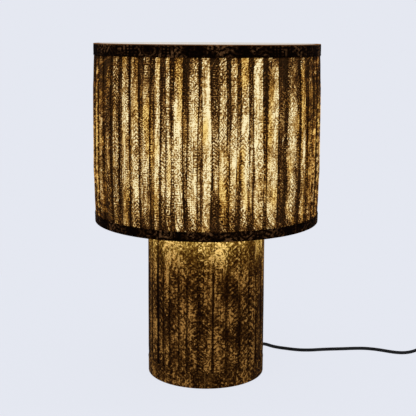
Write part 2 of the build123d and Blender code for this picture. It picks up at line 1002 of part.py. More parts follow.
def screw_places():
    middle = switch_length / 2
    return [(middle + end * screw_spacing / 2, end * (switch_width / 2 - screw_inset)) for end in (-1, 1)]


def switch_base():
    block = switch_block(0, switch_split)
    block = fillet(block.edges().group_by(Axis.Z)[0], switch_edge)
    block -= switch_cavity(switch_shell, switch_split + 1)
    for x, y in screw_places():
        at = Pos(x, y, 0)
        block += at * Cylinder(post_radius + 2 * clearance, switch_split, align=upward)
        block -= at * Cylinder(screw_radius + clearance, 2 * switch_split)
        block -= at * Cylinder(screw_head_radius + clearance, 2 * (screw_head_height + screw_sink))
    return block - lead_bore(lead / 2 + thread_clearance)


def switch_cover():
    block = switch_block(switch_split, switch_height)
    block = fillet(block.edges().group_by(Axis.Z)[-1], switch_edge)
    block -= switch_cavity(switch_split - 1, switch_height - switch_shell)
    middle = switch_length / 2
    cheek = rocker_pin_reach + rocker_slot_gap
    slot_length = rocker_length + 2 * rocker_slot_gap
    slot_width = rocker_width + 2 * rocker_slot_gap
    well_height = switch_height - rocker_pivot_height + well_below_pin
    well = Box(slot_length + 2, slot_width + 2 * cheek, well_height, align=upward)
    block += Pos(middle, 0, switch_height - well_height) * well
    block -= Pos(middle, 0, switch_height) * Box(slot_length, slot_width, 3 * switch_height)
    pin_reach = slot_width + 2 * rocker_pin_reach
    pin_hole = Cylinder(rocker_pin_radius + thread_clearance, pin_reach, rotation=(90, 0, 0))
    block -= Pos(middle, 0, rocker_pivot_height) * pin_hole
    screw_hole = screw_length - switch_split + screw_sink + 1
    for x, y in screw_places():
        at = Pos(x, y, switch_split)
        block += at * Cylinder(post_radius, switch_height - switch_split - 1, align=upward)
        block -= at * Cylinder(screw_radius, 2 * screw_hole)
    return block - lead_bore(lead / 2 + thread_clearance)


def switch_rocker():
    """A see-saw with two faces that meet in a shallow V, standing in its on position."""
    half = rocker_length / 2 - rocker_slot_gap
    dip = half * math.tan(math.radians(rocker_half_travel))
    level = switch_height - rocker_pivot_height
    side = [
        (-half, -rocker_depth + rocker_chamfer),
        (-half, level + dip + rocker_proud),
        (0, level + rocker_proud),
        (half, level + dip + rocker_proud),
        (half, -rocker_depth + rocker_chamfer),
        (rocker_keel, -rocker_depth),
        (-rocker_keel, -rocker_depth),
    ]
    face = make_face(Polyline(*[(x, 0, z) for x, z in side], close=True))
    body = extrude(face, rocker_width / 2, both=True)
    body -= Cylinder(rocker_pin_radius + rocker_pin_clearance, 2 * rocker_width, rotation=(90, 0, 0))
    body = Rot(0, rocker_half_travel, 0) * body
    return place_switch(Pos(switch_length / 2, 0, rocker_pivot_height) * body)


def rocker_pin():
    length = rocker_width + 2 * rocker_slot_gap + 2 * rocker_pin_reach - 2 * clearance
    pin = Cylinder(rocker_pin_radius, length, rotation=(90, 0, 0))
    return place_switch(Pos(switch_length / 2, 0, rocker_pivot_height) * pin)


def switch_contacts():
    """Two fixed brass strips over the lead, each on a pair of legs beside it."""
    strips = []
    seat = switch_lead_height + lead / 2 + thread_clearance
    leg_height = seat - switch_shell + contact_sheet
    apart = lead / 2 + thread_clearance + contact_sheet / 2
    for end in (-1, 1):
        x = switch_length / 2 + end * (contact_spacing + contact_length) / 2
        strip = Pos(x, 0, seat) * Box(contact_length, 2 * apart + contact_sheet, contact_sheet, align=upward)
        for side in (-1, 1):
            leg = Box(contact_leg, contact_sheet, leg_height, align=upward)
            strip += Pos(x, side * apart, switch_shell) * leg
        strips.append(place_switch(strip).solid())
    return Compound(strips)


def switch_screws():
    screws = []
    for x, y in screw_places():
        head = Cylinder(screw_head_radius, screw_head_height, align=upward)
        shank = Cylinder(screw_radius - clearance / 4, screw_length, align=upward)
        slot = Box(4 * screw_head_radius, screw_slot, screw_head_height)
        screws.append(place_switch(Pos(x, y, screw_sink) * (head + shank - slot)).solid())
    return Compound(screws)


def switch_lead():
    rod = Rot(0, 90, 0) * Cylinder(lead / 2, switch_length, align=upward)
    return place_switch(Pos(0, 0, switch_lead_height) * rod)


# Plug
def plug_body():
    front = plug_boot + plug_body_length
    back = plug_boot
    wide = plug_width / 2
    narrow = plug_rear_width / 2
    shoulder = front - plug_shoulder
    outline = [
        (back, -narrow),
        (shoulder, -wide),
        (front, -wide),
        (front, wide),
        (shoulder, wide),
        (back, narrow),
    ]
    block = Pos(0, 0, -plug_height / 2) * extrude(make_face(Polyline(*outline, close=True)), plug_height)
    block = fillet(block.edges().filter_by(Axis.Z), plug_corner)
    block = fillet(block.edges().group_by(Axis.Z)[0] + block.edges().group_by(Axis.Z)[-1], plug_edge)
    boot = Cone(plug_boot_tip, plug_boot_root, plug_boot + 1, align=upward)
    block += Rot(0, 90, 0) * boot
    for side in (-1, 1):
        seat = Cylinder(pin_sleeve_radius, 2 * pin_seat, rotation=(0, 90, 0))
        block -= Pos(front, side * pin_spacing / 2, 0) * seat
    return place_plug(block)


def plug_pins():
    pins = []
    start = plug_boot + plug_body_length + pin_length - pin_bare
    covered = pin_seat + pin_length - pin_bare
    for side in (-1, 1):
        bare = Cylinder(pin_radius, pin_bare, align=upward)
        bare = fillet(bare.edges().group_by(Axis.Z)[-1], pin_tip_round)
        inner = Cylinder(pin_sleeve_radius - pin_sleeve_wall, covered, align=downward)
        at = Pos(start, side * pin_spacing / 2, 0) * Rot(0, 90, 0)
        pins.append(place_plug(at * (bare + inner)).solid())
    return Compound(pins)


def pin_sleeves():
    sleeves = []
    start = plug_boot + plug_body_length - pin_seat
    length = pin_seat + pin_length - pin_bare
    for side in (-1, 1):
        sleeve = Cylinder(pin_sleeve_radius, length, align=upward)
        sleeve -= Cylinder(pin_sleeve_radius - pin_sleeve_wall, 3 * length)
        at = Pos(start, side * pin_spacing / 2, 0) * Rot(0, 90, 0)
        sleeves.append(place_plug(at * sleeve).solid())
    return Compound(sleeves)


nodes = {
    "foot_pad": foot_pad,
    "base_floor": base_floor,
    "base_tube": base_tube,
    "base_lid": base_lid,
    "base_weight": base_weight,
    "weight_bolt": weight_bolt,
    "weight_washer": weight_washer,
    "weight_nut": weight_nut,
    "base_cover": base_cover,
    "base_hem": base_hem,
    "base_cap_band": base_cap_band,
    "nipple": nipple,
    "nipple_nut": nipple_nut,
    "nipple_washers": nipple_washers,
    "holder_cap": holder_cap,
    "holder_shell": holder_shell,
    "holder_insert": holder_insert,
    "screw_shell": screw_shell,
    "centre_contact": centre_contact,
    "terminals": terminals,
    "terminal_screws": terminal_screws,
    "live_core": lambda: core(1),
    "neutral_core": lambda: core(-1),
    "shade_rings": shade_rings,
    "shade_hub": shade_hub,
    "shade_arms": shade_arms,
    "shade_bottom_wire": lambda: ring_of_wire(ring_low),
    "shade_top_wire": lambda: ring_of_wire(ring_high),
    "shade_liner": shade_liner,
    "shade_cover": shade_cover,
    "shade_top_binding": shade_top_binding,
    "shade_bottom_binding": shade_bottom_binding,
    "bulb_glass": bulb_glass,
    "bulb_cap": bulb_cap,
    "bulb_insulator": bulb_insulator,
    "bulb_tip": bulb_tip,
    "bulb_stem": bulb_stem,
    "bulb_filaments": bulb_filaments,
    "lead_sleeve": lead_sleeve,
    "inner_lead": inner_lead,
    "lead_run": lambda: swept(route(run_route()), lead / 2),
    "switch_base": lambda: place_switch(switch_base()),
    "switch_cover": lambda: place_switch(switch_cover()),
    "switch_rocker": switch_rocker,
    "rocker_pin": rocker_pin,
    "switch_contacts": switch_contacts,
    "switch_screws": switch_screws,
    "switch_lead": switch_lead,
    "lead_link": lambda: swept(route(link_route()), lead / 2),
    "lead_coil": lead_coil,
    "coil_tie": coil_tie,
    "lead_tail": lambda: swept(route(tail_route()), lead / 2),
    "plug_body": plug_body,
    "plug_pins": plug_pins,
    "pin_sleeves": pin_sleeves,
}


def main():
    os.makedirs("parts", exist_ok=True)
    section = math.pi * (lead / 2) ** 2
    total = switch_length
    for name, make in nodes.items():
        shape = make()
        export_step(shape, f"parts/{name}.step")
        if name in ("lead_run", "lead_link", "lead_tail", "lead_coil"):
            print(name, "length from volume", round(shape.volume / section, 1))
    for name, points in (("run", run_route()), ("link", link_route()), ("tail", tail_route())):
        path = route(points)
        total += path.length
        print(name, "length", round(path.length, 1), "radii", [round(r) for r in corner_radii(points)])
    coil = Wire(coil_edges())
    total += coil.length
    print("coil length", round(coil.length, 1), "least gap", round(least_gap(coil_edges()), 2))
    print("lead from the sleeve to the plug", round(total, 1))


main()
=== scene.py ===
import json
import math
import random

import bpy
from mathutils import Matrix, Vector


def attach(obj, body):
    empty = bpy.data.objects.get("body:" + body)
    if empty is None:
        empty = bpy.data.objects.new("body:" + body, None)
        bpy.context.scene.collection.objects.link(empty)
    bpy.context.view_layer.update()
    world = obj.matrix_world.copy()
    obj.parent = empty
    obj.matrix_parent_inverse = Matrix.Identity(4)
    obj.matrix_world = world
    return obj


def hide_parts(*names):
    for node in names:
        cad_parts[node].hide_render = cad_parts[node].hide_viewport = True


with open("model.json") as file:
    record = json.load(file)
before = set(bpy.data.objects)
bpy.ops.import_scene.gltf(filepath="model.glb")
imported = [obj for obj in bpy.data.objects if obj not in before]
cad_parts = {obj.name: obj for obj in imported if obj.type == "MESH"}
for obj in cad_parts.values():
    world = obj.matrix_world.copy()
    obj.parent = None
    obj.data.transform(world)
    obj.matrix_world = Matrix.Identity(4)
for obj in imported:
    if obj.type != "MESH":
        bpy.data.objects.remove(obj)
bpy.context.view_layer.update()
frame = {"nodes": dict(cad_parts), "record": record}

# Pleated table lamp. Everything is in metres, +Z up, the front towards -Y.
mm = 0.001

# The camera, where the photograph was taken from
camera_place = (0.0021, -1.241, 0.4617)
camera_pitch = math.radians(10.617)
camera_roll = math.radians(0.28)
camera_lens = 80.2
camera_sensor = 36.0

# Pleats, spaced as in the solids or within 2 mm of them. For each: the crest's and the fold's width
# across the front in millimetres, then how much light the crest and the fold let through, 0 to 1.
shade_front_pleats = (
    (11.5, 6.5, 0.5, 0.3),
    (11.5, 5.0, 0.7, 0.35),
    (11.0, 7.5, 0.76, 0.62),
    (8.5, 7.0, 0.72, 0.66),
    (6.0, 9.5, 0.92, 0.7),
    (4.5, 6.0, 0.8, 0.58),
    (10.0, 7.0, 0.8, 0.58),
    (10.5, 6.0, 0.82, 0.64),
    (9.5, 11.5, 0.9, 0.6),
    (8.5, 5.0, 0.74, 0.56),
    (7.0, 5.5, 0.84, 0.62),
    (9.0, 8.0, 0.9, 0.7),
    (12.0, 7.0, 0.86, 0.42),
    (15.0, 15.5, 0.74, 0.36),
    (17.0, 9.5, 0.58, 0.42),
)
shade_front_start = -50.4
shade_pleat_pitch = 18.0
shade_levels = ((224.5, 149.4), (285.0, 151.3), (395.0, 150.0), (437.5, 148.0))
shade_radius = 151.3
shade_depth = 3.0
shade_lean = 0.006
# For the base, whose cloth lets no light through, the two light numbers are painted shade: they darken its
# colour on the crest and in the fold.
base_front_pleats = (
    (12.0, 4.5, 0.8, 0.01),
    (9.0, 2.5, 0.75, 0.45),
    (8.0, 3.0, 1.0, 0.6),
    (11.5, 2.5, 0.85, 0.5),
    (9.0, 3.0, 0.85, 0.55),
    (12.5, 3.0, 0.95, 0.7),
    (15.5, 3.0, 0.9, 0.35),
    (15.0, 3.5, 1.0, 0.5),
    (15.5, 3.0, 0.85, 0.6),
    (14.0, 2.5, 0.75, 0.6),
    (13.0, 3.0, 0.8, 0.35),
)
base_front_start = -63.9
base_pleat_pitch = 15.0
base_levels = ((2.0, 79.2), (22.0, 79.3), (34.0, 79.85), (130.0, 79.5), (220.0, 79.1))
base_radius = 79.3
base_depth = 1.2
base_lean = 0.003
cover_rows = 45
cloth = 0.3

# Where the pleats are pressed flatter: what is left of them at the bands, and how far in it reaches
pressed = 0.72
press_reach = 16.0

# The shade's bindings, in millimetres: the rim's height, the way that the outer flap runs, the flap's
# length, the radius under it, the seam's radius and height, and the seed of its ripple
bindings = {
    "top": (450.0, -1, 15.5, 148.34, 149.3, 436.6, 21),
    "bottom": (215.0, 1, 12.5, 149.7, 150.65, 225.3, 22),
}
binding_inner = 139.3
binding_wall = 0.9
binding_back = 9.0
binding_ripple = 0.12
binding_corner = 0.8
stitch_pitch = 3.4
stitch_length = 2.5
stitch_bow = 0.12
shade_thread = 0.5
hem_thread = 0.45
# The share stored on the bands in place of a pleat's light; on the base's bands it darkens their colour and
# glow evenly.
band_light = 0.78

# The base's bands: outlines of radius and height in millimetres, and the hem's seam
hem_outline = [(79.5, 0.6), (80.0, 0.6), (80.05, 12.0), (80.0, 23.0), (79.45, 23.0)]
cap_outline = [
    (68.6, 220.2),
    (79.5, 220.2),
    (79.5, 208.0),
    (80.0, 208.0),
    (80.0, 220.7),
    (68.6, 220.7),
]
hem_seam = (80.1, 20.6)
hem_ripple = 0.08
cap_ripple = 0.06
base_band_corner = 0.5

# The lead: the points that the solids' route goes through, and the coil's size
lead = 4.8 * mm
lead_height = 12.5
sleeve_azimuth = math.radians(40.0)
sleeve_mouth = 98.2
end_straight = 9.5
run_points = (
    (90.0, 74.6, 9.6),
    (98.0, 78.3, 5.6),
    (108.5, 79.6, 3.0),
    (119.5, 77.2, 2.4),
    (130.5, 72.9, 2.4),
    (143.0, 70.4, 2.4),
    (156.5, 70.7, 2.4),
    (170.5, 73.5, 2.4),
    (186.0, 75.5, 2.4),
    (203.0, 76.9, 2.4),
    (220.0, 79.2, 2.4),
    (236.5, 79.6, 2.4),
    (251.0, 75.9, 2.4),
    (263.5, 69.9, 2.4),
    (274.5, 63.8, 2.4),
    (285.2, 60.4, 2.4),
    (295.8, 61.0, 2.5),
    (305.4, 64.4, 3.2),
    (314.4, 68.8, 5.0),
)
link_points = (
    (404.5, 109.5, 5.8),
    (413.5, 112.6, 4.2),
)
tail_points = (
    (413.5, 33.3, 6.9),
    (404.5, 33.9, 6.0),
)
switch_start = (332.0, 77.2)
switch_heading = math.radians(25.0)
switch_length = 60.0
switch_lead_height = 6.5
coil_centre = (437.0, 76.0)
coil_radius = 37.5
coil_pitch = 5.3
coil_half_turns = 7
coil_level = 3.1
coil_steps = 8
plug_tip = (386.0, 34.2, 6.85)


# Shader maths
class Socket:
    """A node's output, with the operators that add Math nodes."""

    def __init__(self, finish, socket):
        self.finish = finish
        self.socket = socket

    def maths(self, operation, a, b=0.0):
        return self.finish.maths(operation, a, b)

    def __add__(self, other):
        return self.maths("ADD", self, other)

    def __radd__(self, other):
        return self.maths("ADD", other, self)

    def __sub__(self, other):
        return self.maths("SUBTRACT", self, other)

    def __rsub__(self, other):
        return self.maths("SUBTRACT", other, self)

    def __mul__(self, other):
        return self.maths("MULTIPLY", self, other)

    def __rmul__(self, other):
        return self.maths("MULTIPLY", other, self)

    def __truediv__(self, other):
        return self.maths("DIVIDE", self, other)

    def __lt__(self, other):
        return self.maths("LESS_THAN", self, other)

    def __gt__(self, other):
        return self.maths("GREATER_THAN", self, other)


class Finish:
    """A node tree that is built up from nothing: a new material's, or the one given."""

    def __init__(self, name="", tree=None):
        if tree is None:
            self.material = bpy.data.materials.new(name)
            self.material.use_nodes = True
            tree = self.material.node_tree
        self.tree = tree
        self.tree.nodes.clear()

    def node(self, kind, settings=None, inputs=None, output=0):
        """Adds a node: its settings first, then its sockets' values or links."""
        made = self.tree.nodes.new(kind)
        for name, value in (settings or {}).items():
            if name == "stops":
                set_stops(made.color_ramp, value)
            else:
                setattr(made, name, value)
        for name, value in (inputs or {}).items():
            if isinstance(value, Socket):
                self.tree.links.new(value.socket, made.inputs[name])
            else:
                made.inputs[name].default_value = value
        return Socket(self, made.outputs[output]) if made.outputs else None

    def maths(self, operation, a, b=0.0):
        return self.node("ShaderNodeMath", {"operation": operation}, {0: a, 1: b})

    def fraction(self, value):
        return self.maths("FRACT", value)

    def distance(self, a, b):
        return self.maths("SQRT", a * a + b * b)

    def smooth(self, value, low, high):
        """0 below low, 1 above high, smooth between."""
        settings = {"interpolation_type": "SMOOTHSTEP"}
        inputs = {"Value": value, "From Min": low, "From Max": high, "To Min": 0.0, "To Max": 1.0}
        return self.node("ShaderNodeMapRange", settings, inputs)

    def chance(self, value):
        """A fixed number from 0 to 1 for each whole value."""
        return self.node("ShaderNodeTexWhiteNoise", {"noise_dimensions": "1D"}, {"W": value}, "Value")

    def vector(self, x, y, z=0.0):
        return self.node("ShaderNodeCombineXYZ", None, {0: x, 1: y, 2: z})

    def noise(self, vector, scale, detail=2.0, roughness=0.5):
        inputs = {"Vector": vector, "Scale": scale, "Detail": detail, "Roughness": roughness}
        return self.node("ShaderNodeTexNoise", None, inputs, "Fac")

    def ramp(self, value, *stops):
        return self.node("ShaderNodeValToRGB", {"stops": stops}, {"Fac": value}, "Color")

    def mix(self, factor, a, b):
        """A mix of two colours."""
        return self.node("ShaderNodeMix", {"data_type": "RGBA"}, {"Factor": factor, 6: a, 7: b}, 2)

    def object_place(self):
        return self.node("ShaderNodeTexCoord", None, None, "Object")

    def parts(self, vector):
        split = self.tree.nodes.new("ShaderNodeSeparateXYZ")
        self.tree.links.new(vector.socket, split.inputs[0])
        return [Socket(self, out) for out in split.outputs]

    def bump(self, height, depth, strength=1.0):
        return self.node("ShaderNodeBump", None, {"Height": height, "Distance": depth, "Strength": strength})

    def surface(self, **sockets):
        """The principled shader; a socket's name is written with underscores for its spaces."""
        inputs = {name.replace("_", " "): value for name, value in sockets.items()}
        shader = self.node("ShaderNodeBsdfPrincipled", None, inputs)
        self.node("ShaderNodeOutputMaterial", None, {"Surface": shader})
        return self.material


def set_stops(ramp, stops):
    while len(ramp.elements) < len(stops):
        ramp.elements.new(1.0)
    for element, (place, colour) in zip(ramp.elements, stops):
        element.position = place
        element.color = (*colour, 1.0)


# Printed cloth: the strips' width and the motifs' length along them, then the weave
print_strip = 9.5 * mm
print_repeat = 10.0 * mm
thread_rate = 9000.0
thread_depth = 0.04 * mm

# Where the bulb's light is strongest on the shade, how far it reaches, and the light on the base's top
glow_height = 322.0
glow_up = 115.0
glow_down = 97.0
liner_glow_height = 325.0 * mm
liner_glow_reach = 125.0 * mm
spill_top = 235.0 * mm
spill_reach = 34.0 * mm

# The rims' lit edge, the radii between which a binding's inside begins, and the radius of its print
rim_heights = (448.6 * mm, 449.6 * mm)
return_radii = (143.0 * mm, 140.5 * mm)
binding_round = 150.0 * mm
unlit = (0.0, 0.0, 0.0, 1.0)

# The fold before the base's measured pleats, painted dark as shade: its angle and width in degrees
dark_fold = -74.0
dark_fold_width = 7.0


def ornament(f, across, along, strip, repeat, reverse, loose=0.32):
    """A traditional ornament in strips: chains of diamonds, medallions, boxes or chevrons, and dots.
    reverse is the share of strips drawn pale on dark, and loose is how far the lines wander."""
    wander = f.noise(f.vector(across, along), 1.15 / strip, 2.0)
    across = across + (wander - 0.5) * (loose * strip)
    along = along + (f.noise(f.vector(across, along, 0.3), 1.1 / repeat, 2.0) - 0.5) * (loose * repeat)
    shown = f.smooth(f.noise(f.vector(across, along * 0.4, 0.7), 60.0, 1.0), 0.34, 0.5)
    column = f.maths("FLOOR", across / strip)
    chance = f.chance(column)
    second = f.chance(column + 40.5)
    x = f.maths("ABSOLUTE", f.fraction(across / strip) - 0.5) * 2
    step = along / repeat * (0.7 + 0.6 * chance) + 9 * second
    y = f.maths("ABSOLUTE", f.fraction(step) - 0.5) * 2
    diamond = f.fraction((x + y) * 1.5)
    medallion = f.fraction(f.distance(x * 1.1, y) * 1.6 + 0.2)
    chevron = f.fraction(step * 2 + x * 0.9)
    box = f.fraction(f.maths("MAXIMUM", x, y) * 1.7 + 0.3)
    pick = f.fraction(chance * 7.3 + f.chance(f.maths("FLOOR", step / 6)))
    first = pick < 0.34
    third = pick > 0.82
    fourth = (pick > 0.64) - third
    figure = diamond * first + chevron * third + box * fourth + medallion * (1 - first - third - fourth)
    lines = f.smooth(f.maths("ABSOLUTE", figure - 0.5), 0.3, 0.16) * shown
    dot = f.distance(f.fraction(across / strip * 4) - 0.5, f.fraction(along / repeat * 4) - 0.5)
    dots = f.smooth(dot, 0.38, 0.2)
    drawn = f.maths("MAXIMUM", lines, dots * 0.7)
    turned = (f.chance(column + 80.5) < reverse) * shown
    return f.maths("ABSOLUTE", drawn - turned * 0.85), second


def scrolls(f, across, along, scale):
    """Curled leaf lines, from the contours of a smooth noise."""
    field = f.noise(f.vector(across, along), scale, 1.5, 0.45)
    curl = f.maths("SINE", field * 46.0)
    return f.smooth(curl, -0.3, 0.5)


def speckle(f, across, along, scale):
    """Small marks of the print and the cloth's own grain, from 0 to 1."""
    return f.smooth(f.noise(f.vector(across, along), scale, 3.0, 0.65), 0.36, 0.64)


def cloth_coordinates(f):
    """The unfolded cloth's two coordinates and each point's stored share of light, from the mesh: the light
    let through on the shade, painted shade on the base.
    """
    stored = f.node("ShaderNodeAttribute", {"attribute_name": "cloth"}, None, "Vector")
    return f.parts(stored)


def woven(f, across, along):
    """The bump of fine threads both ways."""
    warp = f.maths("SINE", across * thread_rate)
    weft = f.maths("SINE", along * thread_rate)
    return f.bump(warp * weft, thread_depth, 0.6)


def shade_cloth_finish():
    f = Finish("shade_printed_cloth")
    across, along, light = cloth_coordinates(f)
    _, y, z = f.parts(f.object_place())
    # Painted shade at the shade's left and right sides: side is 1 there, where the lit cloth is made darker,
    # mottled and more orange.
    side = f.smooth(f.maths("ABSOLUTE", y), 0.115, 0.03)
    figure, chance = ornament(f, across, along, print_strip, print_repeat, 0.3)
    leaf = scrolls(f, across, along, 115.0)
    marks = speckle(f, across, along * 0.8, 380.0)
    streak = speckle(f, across, along * 0.07, 330.0)
    patch = speckle(f, across, along * 0.5, 30.0)
    side_shade_mottle = speckle(f, across * 0.35, along, 160.0)
    clear = (1 - 0.46 * figure) * (1 - 0.28 * leaf) * (0.76 + 0.32 * marks)
    printed = clear * (0.74 + 0.4 * streak) * (0.8 + 0.3 * patch) * (0.92 + 0.14 * chance)
    # Painted shade: at the sides the lit cloth is darker and mottled, and darker still away from the middle
    # height.
    far = f.smooth(f.maths("ABSOLUTE", z - 0.3), 0.02, 0.13)
    printed = printed * (1 + side * (0.95 * side_shade_mottle - 0.3)) * (1 - 0.42 * side * far)
    level = printed * (0.5 + 0.5 * light) - (1 - light) * 0.36
    pale = f.ramp(
        level * 1.86,
        (0.0, (0.0025, 0.0005, 0.0001)),
        (0.2, (0.033, 0.0085, 0.001)),
        (0.4, (0.175, 0.077, 0.0155)),
        (0.6, (0.39, 0.23, 0.066)),
        (0.8, (0.69, 0.48, 0.185)),
        (1.0, (0.97, 0.86, 0.52)),
    )
    amber = f.ramp(
        level * 1.74,
        (0.0, (0.0025, 0.0005, 0.0001)),
        (0.2, (0.04, 0.0105, 0.001)),
        (0.4, (0.18, 0.075, 0.008)),
        (0.65, (0.44, 0.21, 0.026)),
        (1.0, (0.9, 0.62, 0.16)),
    )
    # The orange that the sides are painted with in patches, as shade.
    ember = f.ramp(
        level * 1.86,
        (0.0, (0.003, 0.0006, 0.0001)),
        (0.2, (0.044, 0.0095, 0.001)),
        (0.4, (0.19, 0.064, 0.0085)),
        (0.65, (0.46, 0.19, 0.03)),
        (1.0, (0.92, 0.56, 0.15)),
    )
    # Amber where a noise of the print is high, and more of it at the sides as painted shade.
    warm = f.smooth(f.noise(f.vector(across, along * 0.3), 42.0, 1.0) + 0.26 * side, 0.5, 0.66)
    cloth_colour = f.ramp(clear, (0.3, (0.006, 0.0024, 0.0008)), (1.0, (0.05, 0.025, 0.008)))
    return f.surface(
        Base_Color=cloth_colour,
        Roughness=0.95,
        Emission_Color=f.mix(side * patch * 0.8, f.mix(warm * 0.85, pale, amber), ember),
        Emission_Strength=1.0,
        Specular_IOR_Level=0.02,
        Normal=woven(f, across, along),
    )


def base_cloth_finish():
    f = Finish("base_printed_cloth")
    across, along, light = cloth_coordinates(f)
    _, _, z = f.parts(f.object_place())
    figure, chance = ornament(f, across, along, 1.5 * print_strip, 1.3 * print_repeat, 0.75, 0.2)
    large, _ = ornament(f, across + 0.004, along, 2.9 * print_strip, 2.7 * print_repeat, 0.5, 0.2)
    leaf = scrolls(f, across, along, 85.0)
    marks = speckle(f, across, along, 300.0)
    streak = speckle(f, across, along * 0.1, 220.0)
    patch = speckle(f, across, along * 0.6, 30.0)
    gilt = (1.06 - figure) * 0.6 + (1 - leaf) * 0.42
    printed = (0.12 + gilt) * (0.6 + 0.6 * marks) * (0.8 + 0.3 * streak) * (0.84 + 0.3 * chance)
    printed = printed * (1.26 - 0.6 * large)
    # Painted shade: light, the share stored for each fold, darkens the cloth's colour in the folds.
    level = printed * (0.5 + 0.62 * patch) * light * 1.15
    cloth_colour = f.ramp(
        level,
        (0.0, (0.002, 0.0004, 0.0001)),
        (0.2, (0.014, 0.0045, 0.0006)),
        (0.45, (0.056, 0.0222, 0.0042)),
        (0.7, (0.175, 0.077, 0.0155)),
        (1.0, (0.44, 0.225, 0.056)),
    )
    drift = f.noise(f.vector(across, along * 0.25), 26.0, 1.0)
    spill = f.maths("EXPONENT", (z - spill_top + 0.05 * drift) / spill_reach)
    lit = f.ramp(
        level * (0.5 + 0.85 * spill) + 0.24 * spill,
        (0.0, (0.002, 0.0008, 0.0001)),
        (0.25, (0.052, 0.018, 0.0016)),
        (0.5, (0.205, 0.108, 0.015)),
        (0.75, (0.46, 0.31, 0.066)),
        (1.0, (0.8, 0.6, 0.21)),
    )
    glow = f.mix(f.smooth(spill, 0.0, 0.75), unlit, lit)
    return f.surface(
        Base_Color=cloth_colour,
        Roughness=0.95,
        Emission_Color=glow,
        Emission_Strength=1.0,
        Specular_IOR_Level=0.03,
        Normal=woven(f, across, along),
    )


def binding_finish():
    """Dark printed binding; the rim is lit brown and the return inside is lit pale by the bulb."""
    f = Finish("dark_binding_cloth")
    x, y, z = f.parts(f.object_place())
    around = f.maths("ARCTAN2", x, y) * binding_round
    figure, _ = ornament(f, around, z, 2.4 * print_strip, 1.5 * print_repeat, 0.2)
    marks = speckle(f, around, z, 300.0)
    patch = speckle(f, around, z, 34.0)
    level = (0.2 + 0.9 * figure * patch) * (0.5 + 0.7 * marks)
    cloth_colour = f.ramp(
        level,
        (0.1, (0.0008, 0.0002, 0.0001)),
        (0.3, (0.0055, 0.002, 0.0007)),
        (0.6, (0.026, 0.011, 0.004)),
        (1.0, (0.11, 0.052, 0.02)),
    )
    inside = f.smooth(f.distance(x, y), *return_radii)
    rim = f.smooth(z, *rim_heights)
    glow = f.mix(rim, unlit, (0.2, 0.1, 0.045, 1.0))
    glow = f.mix(inside, glow, (0.7, 0.68, 0.64, 1.0))
    return f.surface(
        Base_Color=cloth_colour,
        Roughness=0.95,
        Emission_Color=glow,
        Emission_Strength=1.0,
        Specular_IOR_Level=0.01,
        Normal=woven(f, around, z),
    )


# Plain finishes
def grained(name, dark, pale, scale, roughness, depth, stretch=(1.0, 1.0, 1.0), **sockets):
    """A finish whose colour, gloss and surface vary with one noise."""
    f = Finish(name)
    x, y, z = f.parts(f.object_place())
    place = f.vector(x * stretch[0], y * stretch[1], z * stretch[2])
    grain = f.noise(place, scale, 4.0, 0.6)
    colour = f.ramp(grain, (0.3, dark), (0.7, pale))
    rough = roughness + (grain - 0.5) * 0.2
    normal = f.bump(grain, depth)
    return f.surface(Base_Color=colour, Roughness=rough, Normal=normal, **sockets)


def liner_finish():
    """Cream film, lit from inside by the bulb and brightest at its height."""
    f = Finish("cream_liner_film")
    x, y, z = f.parts(f.object_place())
    fibre = f.noise(f.vector(x, y, z), 220.0, 4.0, 0.7)
    away = f.maths("ABSOLUTE", z - liner_glow_height) / liner_glow_reach
    level = 1 - 0.45 * away * away
    glow = f.ramp(
        level * (0.9 + 0.15 * fibre),
        (0.0, (0.16, 0.075, 0.02)),
        (0.5, (0.42, 0.24, 0.08)),
        (1.0, (0.8, 0.58, 0.27)),
    )
    film = f.ramp(fibre, (0.3, (0.66, 0.53, 0.34)), (0.7, (0.78, 0.66, 0.46)))
    return f.surface(
        Base_Color=film,
        Roughness=0.55,
        Emission_Color=glow,
        Emission_Strength=0.8,
        Specular_IOR_Level=0.3,
    )


def bulb_finish():
    f = Finish("warm_opal_glass")
    place = f.object_place()
    haze = f.noise(place, 60.0, 2.0)
    glow = f.ramp(haze, (0.3, (1.0, 0.72, 0.36)), (0.7, (1.0, 0.8, 0.48)))
    return f.surface(
        Base_Color=(0.9, 0.82, 0.66, 1.0),
        Roughness=0.35,
        Emission_Color=glow,
        Emission_Strength=5.0,
        Specular_IOR_Level=0.4,
    )


def clear_glass_finish():
    f = Finish("clear_glass")
    streak = f.noise(f.object_place(), 90.0, 2.0)
    return f.surface(
        Base_Color=(0.95, 0.96, 0.95, 1.0),
        Roughness=0.04 + streak * 0.05,
        Transmission_Weight=0.9,
        IOR=1.5,
    )


black = (0.0035, 0.0035, 0.0037)
soft_black = (0.008, 0.008, 0.0085)

